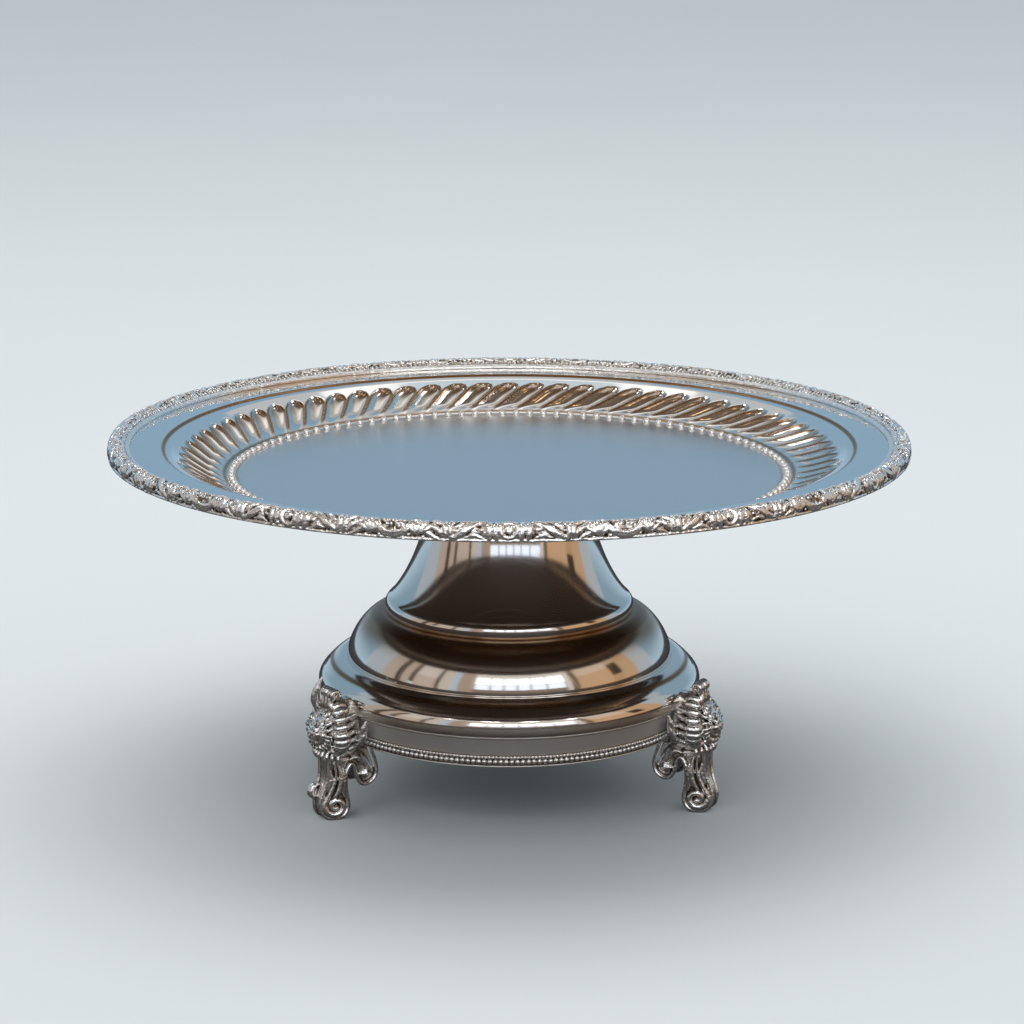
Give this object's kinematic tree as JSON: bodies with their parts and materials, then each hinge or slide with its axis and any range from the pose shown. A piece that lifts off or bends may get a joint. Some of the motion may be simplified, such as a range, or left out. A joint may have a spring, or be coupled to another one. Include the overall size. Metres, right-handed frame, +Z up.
{
  "type": "footed salver",
  "caption": "Round footed silver salver: a fluted dish tray with a cast shell-and-scroll border on a stepped pedestal with cast shell feet.",
  "frame": {"origin": "on the vertical axis, at the level of the feet's undersides", "axes": "+Z up along the pedestal's axis; -Y towards the front, with two feet in front and one behind"},
  "size_m": [0.33, 0.33, 0.1515],
  "materials": {
    "tray_silver": "polished",
    "border_silver": "polished",
    "pedestal_silver": "polished",
    "ring_silver": "gloss",
    "bead_silver": "gloss",
    "foot_silver": "gloss",
    "boss_brass": "satin",
    "clamp_steel": "satin"
  },
  "bodies": {
    "root": {"tray": "tray_silver", "border_section_1": "border_silver", "border_section_2": "border_silver", "border_section_3": "border_silver", "border_section_4": "border_silver", "border_section_5": "border_silver", "border_section_6": "border_silver", "tray_boss": "boss_brass", "tray_stud": "clamp_steel", "pedestal_neck": "pedestal_silver", "clamp_washer": "clamp_steel", "clamp_nut": "clamp_steel", "pedestal_base": "pedestal_silver", "base_ring": "ring_silver", "base_bead_wire": "bead_silver", "foot_left": "foot_silver", "foot_right": "foot_silver", "foot_rear": "foot_silver"}
  },
  "joints": []
}
